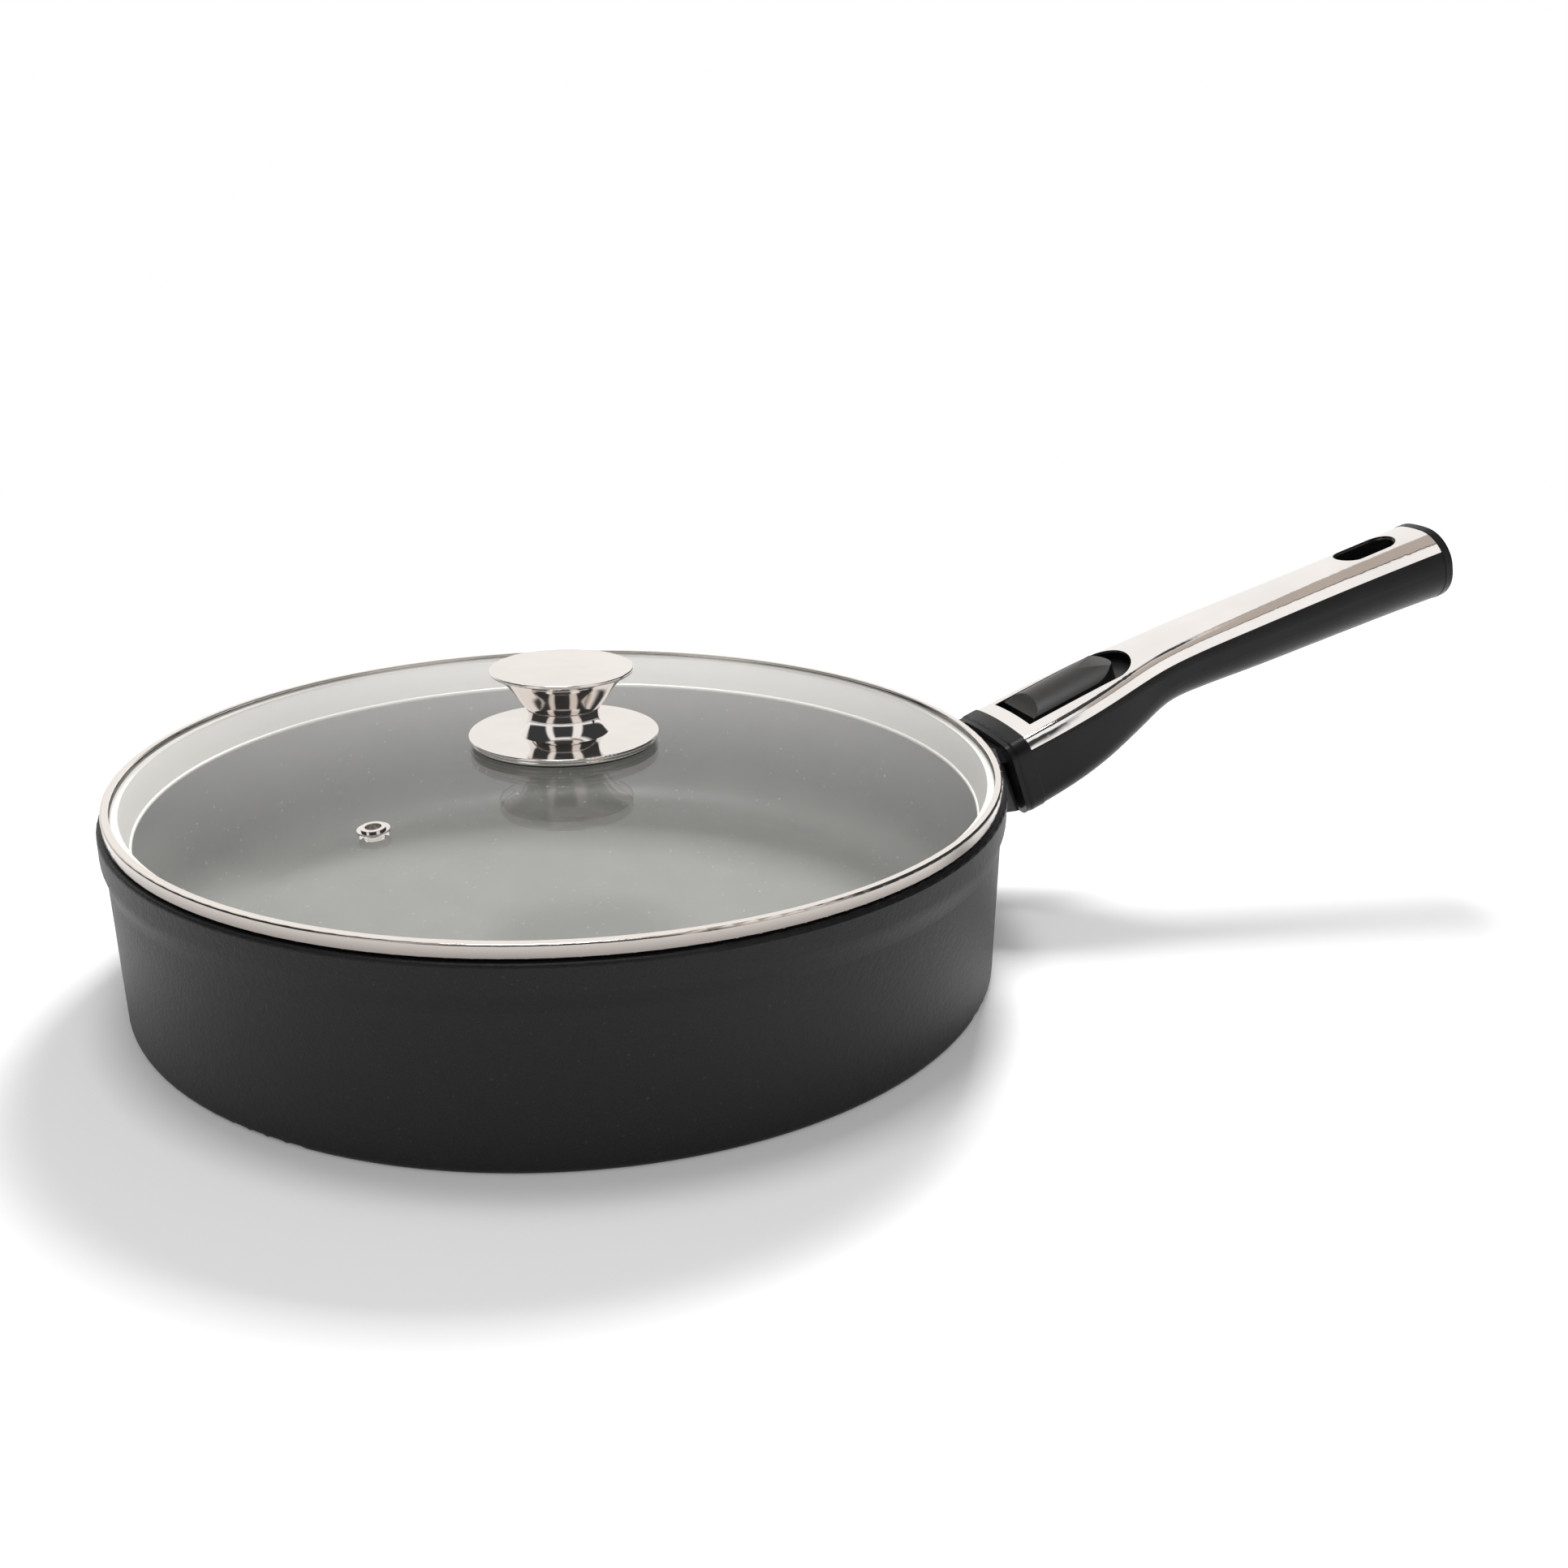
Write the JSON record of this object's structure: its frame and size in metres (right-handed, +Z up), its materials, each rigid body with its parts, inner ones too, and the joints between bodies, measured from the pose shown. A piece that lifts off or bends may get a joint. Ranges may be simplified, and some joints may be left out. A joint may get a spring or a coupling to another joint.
{
  "type": "saute pan with lid",
  "caption": "Deep round saute pan with a glass lid, a steel knob and a detachable, sloping handle with a sliding release button.",
  "frame": {"origin": "centre of the underside that rests on the hob", "axes": "+X from the pan's centre along the handle, +Z up, +Y to the left when looking along the handle from the pan"},
  "size_m": [0.4981, 0.2908, 0.124],
  "materials": {
    "pan_coating": "cast aluminium with a dark grey speckled coating outside and a grey non-stick coating inside",
    "base_steel": "turned magnetic steel disc",
    "bracket_metal": "cast, painted dark grey",
    "screw_steel": "plain steel",
    "handle_black": "satin black moulding",
    "handle_chrome": "polished steel sheet",
    "guard_black": "glossy black moulding",
    "cap_black": "satin black moulding",
    "tray_black": "matt dark moulding",
    "spring_steel": "spring wire",
    "button_black": "matt black moulding",
    "wedge_steel": "ground steel",
    "lid_glass": "clear tempered glass",
    "rim_steel": "polished stainless steel",
    "knob_steel": "polished stainless steel",
    "core_alloy": "threaded insert",
    "gasket_silicone": "black silicone"
  },
  "bodies": {
    "pan": {"pan_body": "pan_coating", "base_disc": "base_steel", "handle_bracket": "bracket_metal", "bracket_screws": "screw_steel"},
    "handle": {"handle_body": "handle_black", "handle_plate": "handle_chrome", "front_guard": "guard_black", "end_cap": "cap_black", "mechanism_tray": "tray_black", "tray_screws": "screw_steel", "spring_pin": "screw_steel", "latch_spring": "spring_steel"},
    "button": {"release_button": "button_black", "button_carrier": "tray_black", "lock_wedge": "wedge_steel", "carrier_screw": "screw_steel"},
    "lid": {"lid_glass": "lid_glass", "lid_rim": "rim_steel", "vent_eyelet": "knob_steel", "knob_flange": "knob_steel", "knob_seat": "knob_steel", "knob_waist": "knob_steel", "knob_funnel": "knob_steel", "knob_top_disc": "knob_steel", "knob_core": "core_alloy", "knob_screw": "screw_steel", "knob_washer": "screw_steel", "glass_gasket_top": "gasket_silicone", "glass_gasket_bottom": "gasket_silicone"}
  },
  "joints": [
    {"name": "lid_lift", "type": "slide", "parent": "pan", "child": "lid", "axis": [0, 0, 1], "range_m": [0, 0.12]},
    {"name": "handle_pull", "type": "slide", "parent": "pan", "child": "handle", "axis": [1, 0, 0], "range_m": [0, 0.055]},
    {"name": "button_slide", "type": "slide", "parent": "handle", "child": "button", "axis": [0.9272, 0, 0.3746], "range_m": [0, 0.007], "stiffness_N_per_m": 800, "springref_m": -0.004, "deforming": ["latch_spring"]}
  ]
}
